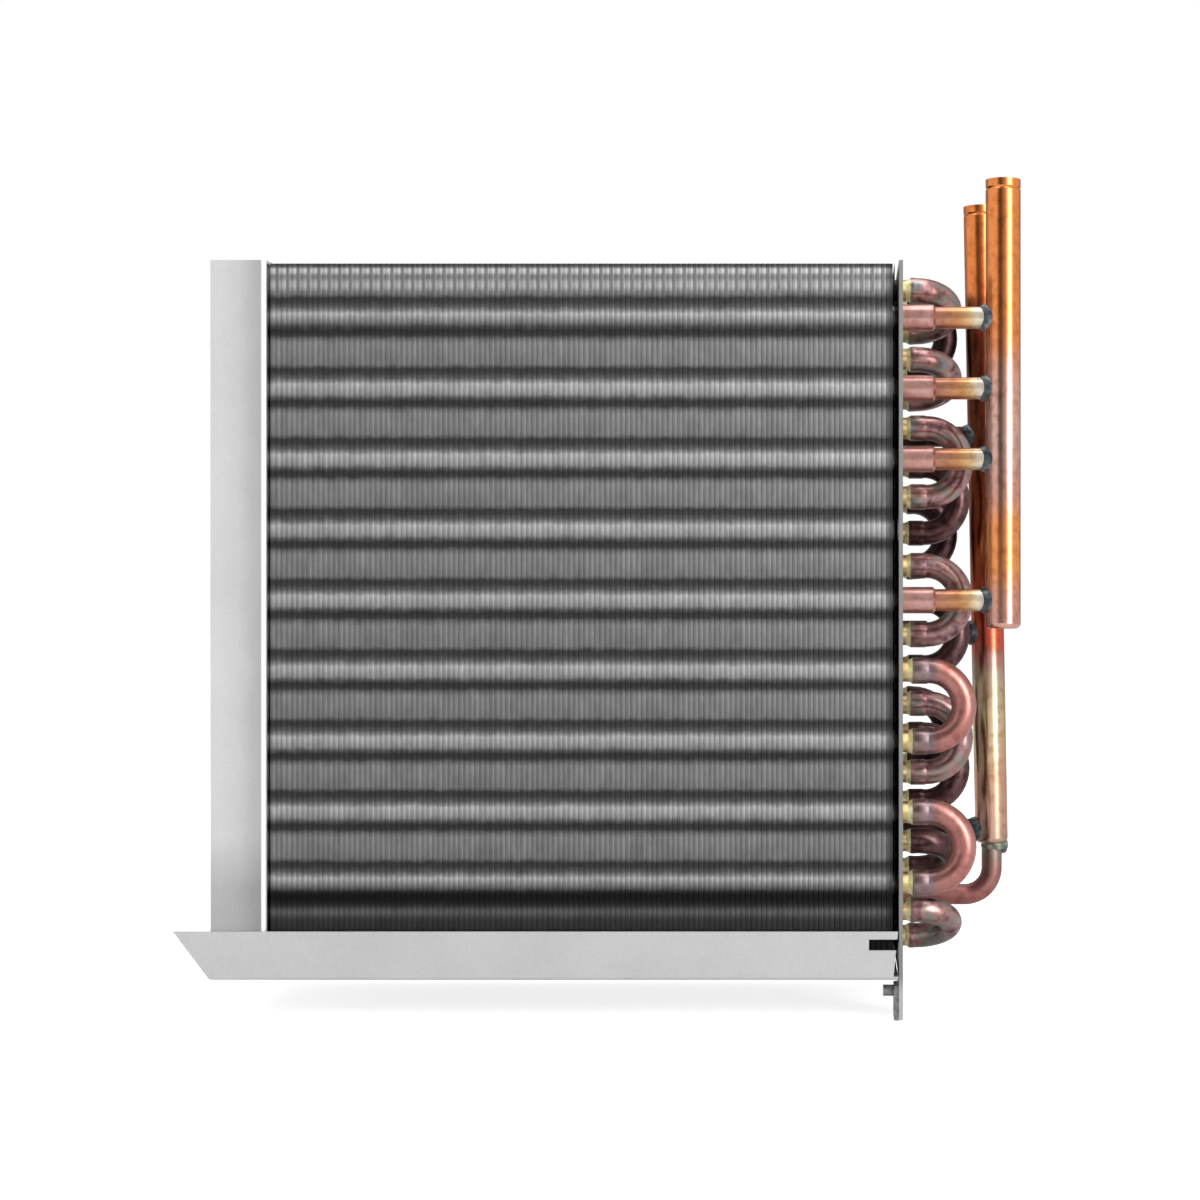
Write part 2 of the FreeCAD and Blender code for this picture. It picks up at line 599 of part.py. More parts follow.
def make_hairpins():
    """The 19 hairpins: two tubes through the pack that are one piece with a half turn on the left."""
    outside = f"(sizes.stub_length + sizes.socket_depth + sizes.tube_sheet_thickness + sizes.tube_sheet_gap)"
    leg = f"({outside} + {PACK_WIDTH} + sizes.seat_gap + sizes.end_plate_thickness + sizes.bore_clearance)"
    section = tube_section("hairpin_section", "sizes.tube_od / 2")
    path = bend_path("hairpin_path", leg)
    right_end = f"{TUBE_SHEET_OUTSIDE} + sizes.stub_length + sizes.socket_depth"
    pieces = []
    for first, second in HAIRPINS:
        label = "hairpin_r%d_t%d_r%d_t%d" % (*first, *second)
        piece = swept(label, section, path)
        seat_between(piece, first, second, right_end, True)
        pieces.append(piece)
    return pieces


def make_return_bends():
    """The 15 bends on the right, with a socket at each end for the hairpins' ends."""
    section = tube_section("bend_section", "sizes.fitting_od / 2")
    paths = {
        "long": bend_path("long_bend_path", "sizes.long_leg"),
        "short": bend_path("short_bend_path", "sizes.short_leg"),
    }
    pieces = []
    for first, second in RETURN_BENDS:
        label = "return_bend_r%d_t%d_r%d_t%d" % (*first, *second)
        kind = "long" if first[0] == second[0] and first[0] in LONG_ROWS else "short"
        bend = swept(label + "_blank", section, paths[kind])
        sockets = []
        for number, side in enumerate((1, -1), 1):
            socket = doc.addObject("Part::Prism", f"{label}_socket_{number}")
            socket.setExpression("Polygon", "sizes.tube_sides")
            socket.setExpression("Circumradius", "sizes.tube_od / 2 + sizes.fit_clearance")
            socket.setExpression("Height", "sizes.socket_depth + sizes.fit_clearance")
            socket.Placement.Rotation = FreeCAD.Rotation(Vector(0, 1, 0), 90)
            socket.setExpression("Placement.Base.z", f"sizes.tube_spacing / 2 * {side}")
            sockets.append(socket)
        cutters = doc.addObject("Part::MultiFuse", label + "_sockets")
        cutters.Shapes = sockets
        piece = doc.addObject("Part::Cut", label)
        piece.Base = bend
        piece.Tool = cutters
        seat_between(piece, first, second, f"{TUBE_SHEET_OUTSIDE} + sizes.stub_length", False)
        pieces.append(piece)
    return pieces


def build():
    """Every piece of the coil."""
    pieces = [
        make_fin_pack(), make_left_end_plate(), make_right_tube_sheet(), make_bottom_angle(),
        make_header(
            "front_header", (HEADER_X, row_y(1)), FRONT_HEADER_ENDS, ZERO, FRONT_END_ROUNDING,
            ZERO, FRONT_FEEDERS,
        ),
        make_header(
            "rear_header", (REAR_HEADER_X, row_y(4)), REAR_HEADER_ENDS, SEAT_RADIUS, REAR_END_ROUNDING,
            "sizes.rear_header_lean", REAR_FEEDERS,
        ),
        make_supply_tube(), make_nut_plate(),
    ]
    for number, tube in enumerate(FRONT_FEEDERS, 1):
        pieces.append(make_feeder(f"front_feeder_{number}", tube, HEADER_X))
    for number, tube in enumerate(REAR_FEEDERS, 1):
        height = f"({tube_z(*tube)} - {REAR_HEADER_ENDS[0]})"
        leaned = f"({REAR_HEADER_X} - tan(sizes.rear_header_lean) * {height})"
        pieces.append(make_feeder(f"rear_feeder_{number}", tube, leaned))
    pieces += make_hairpins()
    pieces += make_return_bends()
    doc.recompute()
    return pieces


def write(pieces):
    """Check every object, then write each piece to its own file."""
    for item in doc.Objects:
        if "Invalid" in item.State or "Error" in item.State:
            raise RuntimeError(f"{item.Name} is {item.State}")
    for piece in pieces:
        if piece.Shape.isNull() or not piece.Shape.isValid():
            raise RuntimeError(f"{piece.Label} has no valid shape")
    os.makedirs("parts", exist_ok=True)
    for piece in pieces:
        piece.Shape.exportStep(f"parts/{piece.Label}.step")
        print(piece.Label, len(piece.Shape.Solids), round(piece.Shape.Volume, 1))


write(build())
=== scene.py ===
"""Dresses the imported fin-and-tube coil with thin fins, round copper, brazing and galvanised sheet."""

import bmesh
import bpy
import math
from mathutils import Matrix, Vector, noise


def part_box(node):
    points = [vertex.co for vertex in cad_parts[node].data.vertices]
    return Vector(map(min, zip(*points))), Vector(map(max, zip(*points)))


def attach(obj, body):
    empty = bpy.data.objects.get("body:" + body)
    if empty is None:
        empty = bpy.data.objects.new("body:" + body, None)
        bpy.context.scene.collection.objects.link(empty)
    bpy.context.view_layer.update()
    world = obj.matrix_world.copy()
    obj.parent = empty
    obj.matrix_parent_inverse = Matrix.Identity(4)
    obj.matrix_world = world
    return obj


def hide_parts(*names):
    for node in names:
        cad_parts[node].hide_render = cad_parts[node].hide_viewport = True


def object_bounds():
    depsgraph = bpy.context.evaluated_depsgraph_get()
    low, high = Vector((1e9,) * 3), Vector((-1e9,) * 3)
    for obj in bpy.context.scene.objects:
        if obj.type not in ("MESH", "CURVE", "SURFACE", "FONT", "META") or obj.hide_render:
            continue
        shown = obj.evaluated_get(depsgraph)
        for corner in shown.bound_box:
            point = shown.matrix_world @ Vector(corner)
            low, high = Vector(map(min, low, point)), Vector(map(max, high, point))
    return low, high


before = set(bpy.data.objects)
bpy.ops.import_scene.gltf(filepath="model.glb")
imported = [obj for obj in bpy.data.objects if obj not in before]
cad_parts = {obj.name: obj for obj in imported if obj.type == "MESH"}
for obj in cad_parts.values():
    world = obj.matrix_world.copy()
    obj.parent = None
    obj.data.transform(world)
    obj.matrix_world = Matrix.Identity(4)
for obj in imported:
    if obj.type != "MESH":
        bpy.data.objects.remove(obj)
cad_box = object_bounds()

# The coil's own measures in metres, as in the frame: X along the tubes, Y to the back, Z up
MM = 0.001
TUBE_PITCH = 25.4 * MM
ROW_PITCH = TUBE_PITCH * math.sqrt(3) / 2
ROWS = (1, 2, 3, 4)
LAST_PLACE = 9
TUBE_RADIUS = 3.97 * MM
FITTING_RADIUS = 4.76 * MM
HEADER_RADIUS = 6.35 * MM
FLANGE_WIDTH = 18.5 * MM
PACK_LOW, PACK_HIGH = (Vector(corner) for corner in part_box("fin_pack"))
PLATE_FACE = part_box("left_end_plate")[0][0] + FLANGE_WIDTH
SHEET_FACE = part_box("right_tube_sheet")[1][0]
SHEET_FRONT = PACK_LOW.y - 0.9 * MM

# Tube that shows between the tube sheet and the sockets, and how far its open end goes into them
STUB = 3.6 * MM
SOCKETS_START = SHEET_FACE + STUB
IN_SOCKET = 4.0 * MM

# Leg, socket and waist of a return bend: the upright bends of the first three rows have long ones
LONG_ENDS = (6.0 * MM, 5.2 * MM, 0.22 * MM)
SHORT_ENDS = (2.0 * MM, 1.6 * MM, 0.1 * MM)

# The fins. Waves go from an outer edge inwards, cuts from the foot up, both in millimetres
FIN_COUNT = 121
FIN_PITCH = 1.855 * MM
FIN_SHEET = 0.13 * MM
WAVE_HEIGHT = 0.95 * MM
EDGE_WAVES = [0.5, 2.4, 3.6]
INNER_WAVES = 12
FIN_CUTS = [0, 2, 7, 30, 70, 110, 145, 185, 225, 246, 252.9]

# How far a fin's outer edges are bent to the sides, and how deep into the pack that reaches
EDGE_BEND = 0.2 * MM
BENT_DEPTH = 9 * MM

# How fine the lumps in brazing and solder are, per metre
LUMPS = 420

# The camera's height, and how much nearer to it than they lie the tubes show on the fins' front edges
EYE_LEVEL = 134.7 * MM
SHOWN_SPACING = 0.9867


def row_depth(row):
    """Y of a row of tubes, counted from the front."""
    return ROW_PITCH * (row - 2.5)


def tube_height(row, place):
    """Z of a tube, counted from the top; even rows lie half a pitch higher than odd ones."""
    quarter = 0.25 if row % 2 else 0.75
    return PACK_LOW.z + TUBE_PITCH * (LAST_PLACE - place + quarter)


def tube_middle(row, place):
    return Vector((0, row_depth(row), tube_height(row, place)))


def tone(red, green, blue):
    """A colour as it looks on the object, from 0 to 255, for a shader."""
    levels = [level / 255 for level in (red, green, blue)]
    return [level / 12.92 if level < 0.04 else ((level + 0.055) / 1.055) ** 2.4 for level in levels] + [1]


def grey(level):
    return tone(level, level, level)


# Small steps that the finishes and the room are put together from. Their owner is a finish or the room


def surface_input(finish, name):
    return finish.node_tree.nodes["Principled BSDF"].inputs[name]


def new_finish(name, metallic, roughness):
    """An empty finish with the numbers that are the same all over it."""
    finish = bpy.data.materials.new(name)
    finish.use_nodes = True
    surface_input(finish, "Metallic").default_value = metallic
    surface_input(finish, "Roughness").default_value = roughness
    return finish


def step(owner, kind, **settings):
    """A new node with its settings."""
    node = owner.node_tree.nodes.new(kind)
    for name, setting in settings.items():
        setattr(node, name, setting)
    return node


def join(owner, output, target):
    owner.node_tree.links.new(output, target)


def share(owner, value, low, high, clamp=True):
    """0 to 1 as a value goes from low to high, and on past both if not clamped."""
    span = step(owner, "ShaderNodeMapRange", clamp=clamp)
    span.inputs["From Min"].default_value = low
    span.inputs["From Max"].default_value = high
    join(owner, value, span.inputs["Value"])
    return span.outputs["Result"]


def surface_place(finish, stretch=(1, 1, 1)):
    """Where a point lies on the coil, in metres, stretched along the axes."""
    where = step(finish, "ShaderNodeTexCoord")
    mapping = step(finish, "ShaderNodeMapping")
    mapping.inputs["Scale"].default_value = stretch
    join(finish, where.outputs["Object"], mapping.inputs["Vector"])
    return mapping.outputs["Vector"]


def along(finish, axis, low, high, clamp=True):
    """0 to 1 as a point goes from low to high along an axis of the coil."""
    apart = step(finish, "ShaderNodeSeparateXYZ")
    join(finish, surface_place(finish), apart.inputs["Vector"])
    return share(finish, apart.outputs[axis], low, high, clamp)


def mottle(finish, size, detail=3, stretch=(1, 1, 1)):
    """Soft irregular patches about as wide as size."""
    patches = step(finish, "ShaderNodeTexNoise")
    patches.inputs["Scale"].default_value = 1 / size
    patches.inputs["Detail"].default_value = detail
    patches.inputs["Roughness"].default_value = 0.55
    join(finish, surface_place(finish, stretch), patches.inputs["Vector"])
    return patches.outputs["Fac"]


def sums(owner, operation, first, second=0):
    """Arithmetic on two values, each an output or a number."""
    node = step(owner, "ShaderNodeMath", operation=operation)
    for socket, term in zip(node.inputs, (first, second)):
        if isinstance(term, (int, float)):
            socket.default_value = term
        else:
            join(owner, term, socket)
    return node.outputs["Value"]


def soft_noise(finish, size, reach):
    """A wander about zero that reaches about half of reach to both sides."""
    return sums(finish, "MULTIPLY", sums(finish, "SUBTRACT", mottle(finish, size), 0.5), reach)


def colours(owner, factor, stops):
    """Colours laid out from 0 to 1, as pairs of place and tone."""
    ramp = step(owner, "ShaderNodeValToRGB")
    points = ramp.color_ramp.elements
    while len(points) < len(stops):
        points.new(0.5)
    for point, (place, colour) in zip(points, stops):
        point.position = place
        point.color = colour
    join(owner, factor, ramp.inputs["Fac"])
    return ramp.outputs["Color"]


def mix_colours(finish, factor, first, second, way="MIX"):
    node = step(finish, "ShaderNodeMix", data_type="RGBA", blend_type=way)
    for name, term in (("Factor", factor), ("A", first), ("B", second)):
        socket = next(s for s in node.inputs if s.name == name and (name == "Factor" or s.type == "RGBA"))
        if isinstance(term, (int, float, list)):
            socket.default_value = term
        else:
            join(finish, term, socket)
    return next(s for s in node.outputs if s.type == "RGBA")


def shaded(finish, colour, shade, strength=1):
    """A colour darkened by a shade, which is white where nothing changes."""
    return mix_colours(finish, strength, colour, shade, "MULTIPLY")


def paint(finish, colour):
    join(finish, colour, surface_input(finish, "Base Color"))


def dull(finish, factor, low, high):
    """Roughness from low to high as the factor goes from 0 to 1."""
    span = step(finish, "ShaderNodeMapRange")
    span.inputs["To Min"].default_value = low
    span.inputs["To Max"].default_value = high
    join(finish, factor, span.inputs["Value"])
    join(finish, span.outputs["Result"], surface_input(finish, "Roughness"))


def emboss(finish, height, depth, strength=0.5):
    """Unevenness of the surface, as deep as depth."""
    bump = step(finish, "ShaderNodeBump")
    bump.inputs["Strength"].default_value = strength
    bump.inputs["Distance"].default_value = depth
    join(finish, height, bump.inputs["Height"])
    join(finish, bump.outputs["Normal"], surface_input(finish, "Normal"))


# Aluminium of the fins


def between_tubes(finish):
    """0 to 1 as a point rises past a tube of the nearest outer row, with 0.5 where the tube shows through."""
    lowest = (LAST_PLACE, LAST_PLACE - 1)
    shown = [EYE_LEVEL + (tube_height(1, place) - EYE_LEVEL) * SHOWN_SPACING for place in lowest]
    height = along(finish, "Z", *shown, clamp=False)
    from_back = along(finish, "Y", -0.1 * MM, 0.1 * MM)
    shifted = sums(finish, "ADD", height, sums(finish, "MULTIPLY", from_back, 0.5))
    return sums(finish, "FRACT", sums(finish, "ADD", shifted, 0.5))


def painted_tube_bands(finish):
    """Painted light and shade: a painted highlight of bright metal over each tube, with a dark line of
    painted shade above and below it.
    """
    place = sums(finish, "ADD", between_tubes(finish), soft_noise(finish, 4 * MM, 0.07))
    return colours(finish, place, [
        (0.0, grey(172)), (0.14, grey(178)), (0.19, grey(150)), (0.25, grey(80)), (0.32, grey(68)),
        (0.37, grey(120)), (0.42, grey(188)), (0.48, grey(214)), (0.56, grey(240)), (0.6, grey(184)),
        (0.65, grey(124)), (0.72, grey(82)), (0.78, grey(76)), (0.85, grey(160)), (1.0, grey(172)),
    ])


def dark_foot(finish, height):
    """Shade on the lowest band, and a faint line under the top."""
    return colours(finish, height, [
        (0.0, grey(112)), (0.084, grey(112)), (0.094, grey(190)),
        (0.103, grey(88)), (0.12, grey(88)), (0.14, grey(255)), (0.9, grey(255)), (0.914, grey(178)),
        (0.93, grey(255)),
    ])


def bead_highlights(finish):
    """A painted highlight on each pair of fins, standing in for the light on the crimped beads at the top."""
    two_fins = PACK_LOW.x + 2 * FIN_PITCH
    pairs = sums(finish, "FRACT", along(finish, "X", PACK_LOW.x, two_fins, clamp=False))
    return colours(finish, pairs, [(0.0, grey(170)), (0.25, grey(255)), (0.7, grey(255)), (0.95, grey(170))])


def bead_highlight_rows(finish, height):
    """White where the rows of crimped beads run along the top, which get the painted highlights."""
    return colours(finish, height, [
        (0.962, grey(0)), (0.968, grey(200)), (0.975, grey(200)), (0.979, grey(0)), (0.986, grey(0)),
        (0.989, grey(255)), (0.993, grey(255)), (0.995, grey(60)),
    ])


def shaded_edges(finish):
    """Shade on the front and back edges, on the last fin on the right and on the foot behind the lip."""
    from_middle = sums(finish, "ABSOLUTE", along(finish, "Y", 0, PACK_HIGH.y, clamp=False))
    edges = colours(finish, from_middle, [
        (0.0, grey(255)), (0.989, grey(255)), (0.994, grey(206)), (0.9975, grey(184)), (0.998, grey(160)),
    ])
    to_right = along(finish, "X", PACK_HIGH.x - 3.6 * MM, PACK_HIGH.x - 1.6 * MM)
    last_fin = colours(finish, to_right, [(0.0, grey(255)), (1.0, grey(110))])
    above_lip = along(finish, "Z", 15.5 * MM, 16.5 * MM)
    behind_lip = along(finish, "Y", -36 * MM, -30 * MM)
    off_lip = sums(finish, "MAXIMUM", above_lip, behind_lip)
    return mix_colours(finish, off_lip, grey(20), shaded(finish, edges, last_fin))


def fin_aluminium():
    finish = new_finish("fin_aluminium", metallic=0.25, roughness=0.42)
    surface_input(finish, "Specular IOR Level").default_value = 0.12
    height = along(finish, "Z", 0, 254 * MM)
    grain = colours(finish, mottle(finish, 5 * MM, 4, (1, 1, 0.6)), [(0.3, grey(222)), (0.7, grey(255))])
    faced = shaded(finish, shaded(finish, painted_tube_bands(finish), dark_foot(finish, height)), grain)
    faced = mix_colours(finish, bead_highlight_rows(finish, height), faced, bead_highlights(finish))
    paint(finish, shaded(finish, faced, shaded_edges(finish)))
    dull(finish, mottle(finish, 3 * MM), 0.36, 0.5)
    return finish


def collar_aluminium():
    finish = new_finish("collar_aluminium", metallic=0.4, roughness=0.35)
    patches = mottle(finish, 4 * MM)
    paint(finish, colours(finish, patches, [(0.3, tone(214, 216, 216)), (0.7, tone(235, 236, 236))]))
    emboss(finish, mottle(finish, 0.8 * MM), 0.05 * MM)
    return finish


# Galvanised sheet and steel


def flange_shade_and_highlight(finish, base):
    """The end plate's flange: painted shade towards its fold, darker towards its foot, and a painted white
    highlight along the fold.
    """
    to_fold = along(finish, "X", PLATE_FACE - 19 * MM, PLATE_FACE)
    wandering = sums(finish, "ADD", to_fold, soft_noise(finish, 12 * MM, 0.3))
    across = colours(finish, wandering, [
        (0.2, grey(255)), (0.55, grey(244)), (0.85, grey(220)), (1.0, grey(214)),
    ])
    upwards = colours(finish, along(finish, "Z", 0, 255 * MM), [
        (0.06, grey(206)), (0.13, grey(214)), (0.2, grey(246)), (0.5, grey(250)), (1.0, grey(247)),
    ])
    base = shaded(finish, shaded(finish, base, across), upwards)
    fold = along(finish, "X", PLATE_FACE - 0.65 * MM, PLATE_FACE - 0.35 * MM)
    return mix_colours(finish, fold, base, tone(250, 250, 251))


def cut_edge(finish, base):
    """The tube sheet's front edge, dark beside the fins and pale on the tab below them."""
    behind_edge = along(finish, "Y", SHEET_FRONT, SHEET_FRONT + 0.1 * MM)
    above_tab = along(finish, "Z", -5 * MM, 1 * MM)
    edge = mix_colours(finish, above_tab, grey(190), tone(142, 141, 138))
    return mix_colours(finish, behind_edge, edge, base)


def galvanised(name, shade, painted_light_and_edge=None):
    """Dull zinc with faint clouds and grain, and with its own piece's marks if they are given: painted shade
    and a painted highlight on the end plate, a darker front edge on the tube sheet.
    """
    finish = new_finish(name, metallic=0.35, roughness=0.45)
    lighter = [level * 1.1 for level in shade[:3]] + [1]
    base = colours(finish, mottle(finish, 26 * MM, 4), [(0.25, shade), (0.75, lighter)])
    grain = colours(finish, mottle(finish, 0.9 * MM), [(0.3, grey(240)), (0.7, grey(255))])
    base = shaded(finish, base, grain, 0.5)
    paint(finish, painted_light_and_edge(finish, base) if painted_light_and_edge else base)
    dull(finish, mottle(finish, 6 * MM), 0.36, 0.52)
    emboss(finish, mottle(finish, 2.5 * MM), 0.04 * MM, 0.4)
    return finish


def dark_steel():
    finish = new_finish("dark_steel", metallic=0.8, roughness=0.45)
    patches = mottle(finish, 2 * MM)
    paint(finish, colours(finish, patches, [(0.3, tone(126, 126, 128)), (0.7, tone(184, 184, 186))]))
    return finish


# Copper and brazing


def copper(name, tones, patch, rough=(0.22, 0.42), stretch=(1, 1, 1), bands=None):
    """Heat-coloured copper: patches of the given tones, darker specks, and bands along an axis if given,
    which on some pieces also carry painted shade.
    """
    finish = new_finish(name, metallic=1.0, roughness=0.3)
    # The noise seldom leaves the span from 0.32 to 0.68, so the tones are laid out over that
    places = [0.32 + 0.36 * number / (len(tones) - 1) for number in range(len(tones))]
    base = colours(finish, mottle(finish, patch, 5, stretch), list(zip(places, tones)))
    if bands:
        axis, low, high, stops = bands
        place = sums(finish, "ADD", along(finish, axis, low, high), soft_noise(finish, 7 * MM, 0.06))
        base = mix_colours(finish, 0.8, base, colours(finish, place, stops))
    specks = mottle(finish, 3.5 * MM, 4)
    smudges = colours(finish, specks, [(0.34, tone(196, 170, 160)), (0.54, grey(255))])
    paint(finish, shaded(finish, base, smudges, 0.5))
    dull(finish, mottle(finish, 5 * MM), *rough)
    emboss(finish, mottle(finish, 4 * MM), 0.05 * MM, 0.2)
    return finish


def brazing(name, tones, roughness):
    """Frozen filler metal and flux, lumpy and matt."""
    finish = new_finish(name, metallic=0.55, roughness=roughness)
    paint(finish, colours(finish, mottle(finish, 3 * MM, 4), list(zip((0.3, 0.5, 0.7), tones))))
    emboss(finish, mottle(finish, 1.1 * MM), 0.15 * MM, 0.7)
    return finish


FIN = fin_aluminium()
COLLAR = collar_aluminium()
FLANGE_SHEET = galvanised("galvanised_end_plate", grey(222), flange_shade_and_highlight)
ANGLE_SHEET = galvanised("galvanised_angle", grey(202))
TUBE_SHEET = galvanised("galvanised_tube_sheet", grey(188), cut_edge)
STEEL = dark_steel()

# Tones of heat-coloured copper; the darkest is dark oxide that also serves as painted shade on the pieces at
# the back
PLUM = tone(112, 74, 78)
SHADED_OXIDE = tone(66, 48, 50)
SLATE = tone(150, 148, 158)
MOSS = tone(150, 146, 136)

FRONT_HEADER_COPPER = copper(
    "front_header_copper", [tone(232, 138, 76), tone(247, 150, 86), tone(250, 164, 98)], 14 * MM,
    rough=(0.16, 0.24), stretch=(1, 1, 0.25),
    bands=("Z", 124 * MM, 286 * MM, [
        (0.0, tone(220, 178, 174)), (0.08, tone(224, 168, 150)), (0.13, tone(254, 168, 104)),
        (0.24, tone(250, 162, 104)), (0.3, tone(218, 172, 160)), (0.42, tone(218, 188, 182)),
        (0.56, tone(220, 178, 164)), (0.64, tone(238, 148, 98)), (0.7, tone(243, 148, 86)),
        (1.0, tone(243, 148, 84)),
    ]),
)
REAR_HEADER_COPPER = copper(
    "rear_header_copper", [tone(222, 126, 74), tone(247, 150, 86), tone(250, 164, 98)], 12 * MM,
    rough=(0.18, 0.28), stretch=(1, 1, 0.3),
    # The dark band from 0.42 to 0.83 is partly heat tint and partly painted shade, where this header lies
    # behind the front header and its feeders
    bands=("Z", 40 * MM, 287 * MM, [
        (0.0, tone(170, 166, 150)), (0.03, tone(216, 184, 168)), (0.1, tone(222, 186, 162)),
        (0.2, tone(236, 224, 180)), (0.28, tone(190, 180, 168)), (0.3, tone(196, 118, 116)),
        (0.315, tone(214, 88, 78)), (0.35, tone(212, 80, 70)), (0.42, tone(150, 52, 36)),
        (0.56, tone(122, 44, 40)), (0.62, tone(76, 34, 42)), (0.83, tone(84, 40, 46)),
        (0.88, tone(236, 136, 76)), (1.0, tone(243, 146, 80)),
    ]),
)
FEEDER_COPPER = copper(
    "feeder_copper", [tone(184, 136, 132), tone(214, 164, 156), tone(226, 178, 140)], 6 * MM,
    rough=(0.22, 0.4),
    bands=("X", 114 * MM, 147 * MM, [
        (0.0, tone(194, 144, 136)), (0.3, tone(216, 168, 162)), (0.38, tone(182, 124, 102)),
        (0.62, tone(206, 142, 84)), (0.74, tone(232, 196, 130)), (0.82, tone(246, 240, 214)),
        (0.92, tone(226, 226, 214)), (0.96, tone(70, 72, 76)),
    ]),
)
# The rear feeders lie behind the front ones: dark oxide, darkened further as painted shade
REAR_FEEDER_COPPER = copper(
    "rear_feeder_copper", [tone(44, 30, 34), SHADED_OXIDE, tone(96, 60, 58)], 6 * MM, rough=(0.35, 0.55)
)
SUPPLY_COPPER = copper(
    "supply_copper", [tone(130, 96, 90), tone(172, 116, 108), tone(200, 146, 136)], 9 * MM,
    rough=(0.3, 0.5),
    bands=("Z", 20 * MM, 42 * MM, [
        (0.0, tone(176, 118, 112)), (0.45, tone(150, 108, 104)), (0.75, tone(150, 136, 126)),
        (1.0, tone(166, 162, 146)),
    ]),
)
# The bends darken row by row towards the back: partly their own dark heat tint, partly painted shade for the
# rows that lie behind
FIRST_BEND_COPPER = copper(
    "front_bend_copper", [tone(150, 104, 100), tone(184, 128, 120), tone(206, 152, 144)], 6 * MM,
    rough=(0.26, 0.42),
    bands=("X", SOCKETS_START, SOCKETS_START + 24 * MM, [
        (0.0, tone(156, 142, 134)), (0.28, tone(144, 132, 142)), (0.4, tone(184, 130, 122)),
        (0.8, tone(190, 126, 118)), (1.0, tone(218, 164, 154)),
    ]),
)
SECOND_BEND_COPPER = copper(
    "second_bend_copper", [PLUM, tone(150, 118, 122), tone(186, 146, 144), MOSS, SLATE], 7 * MM,
    rough=(0.22, 0.4),
)
THIRD_BEND_COPPER = copper(
    "third_bend_copper", [SHADED_OXIDE, tone(90, 62, 66), tone(108, 80, 80), tone(84, 76, 74)], 7 * MM,
    rough=(0.22, 0.4),
)
REAR_BEND_COPPER = copper(
    "rear_bend_copper", [tone(40, 32, 36), SHADED_OXIDE, tone(92, 66, 70)], 9 * MM, rough=(0.26, 0.46)
)
HAIRPIN_COPPER = copper(
    "hairpin_copper", [tone(200, 176, 110), tone(214, 158, 96), tone(226, 214, 160)], 5 * MM,
    rough=(0.28, 0.45),
    # Near black where the tubes cross the gap between the last fin and the tube sheet: painted shade in that
    # gap
    bands=("X", PACK_HIGH.x, SOCKETS_START, [
        (0.0, tone(30, 30, 34)), (0.36, tone(30, 30, 34)), (0.46, tone(196, 170, 110)),
        (1.0, tone(222, 206, 150)),
    ]),
)
PALE_BRAZE = brazing("pale_brazing", [tone(196, 186, 124), tone(236, 230, 176), tone(250, 247, 226)], 0.36)
GREY_BRAZE = brazing("grey_brazing", [tone(66, 72, 66), tone(124, 130, 116), tone(176, 176, 160)], 0.5)
RING_BRAZE = brazing("ring_brazing", [tone(44, 48, 54), tone(84, 92, 96), tone(150, 158, 156)], 0.32)


# Steps that the pieces are made with


def to_object(name, shape, finish):
    """An object in the scene with one finish, made from a shape that is used up."""
    mesh = bpy.data.meshes.new(name)
    shape.to_mesh(mesh)
    shape.free()
    mesh.materials.append(finish)
    made = bpy.data.objects.new(name, mesh)
    bpy.context.scene.collection.objects.link(made)
    return made


def finish_piece(name, shape, finish, nodes=(), crease=35):
    """Turn a shape into a piece that rides on the coil and stands for the given nodes."""
    bmesh.ops.remove_doubles(shape, verts=shape.verts, dist=0.001 * MM)
    bmesh.ops.recalc_face_normals(shape, faces=shape.faces)
    piece = to_object(name, shape, finish)
    piece.data.shade_smooth()
    piece.data.set_sharp_from_angle(angle=math.radians(crease))
    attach(piece, "root")
    if nodes:
        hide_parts(*nodes)


def nodes_named(start):
    return sorted(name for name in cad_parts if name.startswith(start))


def verts_and_edges(made):
    """The newest vertices that an operator gives, and the edges between them."""
    verts = [item for item in made if isinstance(item, bmesh.types.BMVert)]
    kept = set(verts)
    edges = [item for item in made if isinstance(item, bmesh.types.BMEdge) and kept.issuperset(item.verts)]
    return verts, edges


def ring_along_x(shape, sides, radius, middle):
    """The edges of a ring that faces along X."""
    verts = bmesh.ops.create_circle(shape, segments=sides, radius=radius)["verts"]
    bmesh.ops.rotate(shape, verts=verts, cent=(0, 0, 0), matrix=Matrix.Rotation(math.pi / 2, 3, "Y"))
    bmesh.ops.translate(shape, verts=verts, vec=middle)
    return list(dict.fromkeys(edge for vert in verts for edge in vert.link_edges))


def draw_out(shape, edges, offset, radius, middle):
    """Extrude a ring along X, and bring it to a new radius about the axis through middle."""
    made = bmesh.ops.extrude_edge_only(shape, edges=edges)["geom"]
    verts, edges = verts_and_edges(made)
    bmesh.ops.translate(shape, verts=verts, vec=(offset, 0, 0))
    for vert in verts:
        on_axis = Vector((vert.co.x, middle.y, middle.z))
        vert.co = on_axis + (vert.co - on_axis).normalized() * radius
    return edges


def follow_profile(shape, edges, profile, middle):
    """Extrude a ring along pairs of X and radius, from the first pair, where it lies."""
    for (before, _), (after, radius) in zip(profile, profile[1:]):
        edges = draw_out(shape, edges, after - before, radius, middle)
    return edges


def turned_profile(shape, profile, middle, sides):
    """A skin turned about the X axis through middle, along pairs of X and radius."""
    start, radius = profile[0]
    edges = ring_along_x(shape, sides, radius, Vector((start, middle.y, middle.z)))
    return follow_profile(shape, edges, profile, middle)


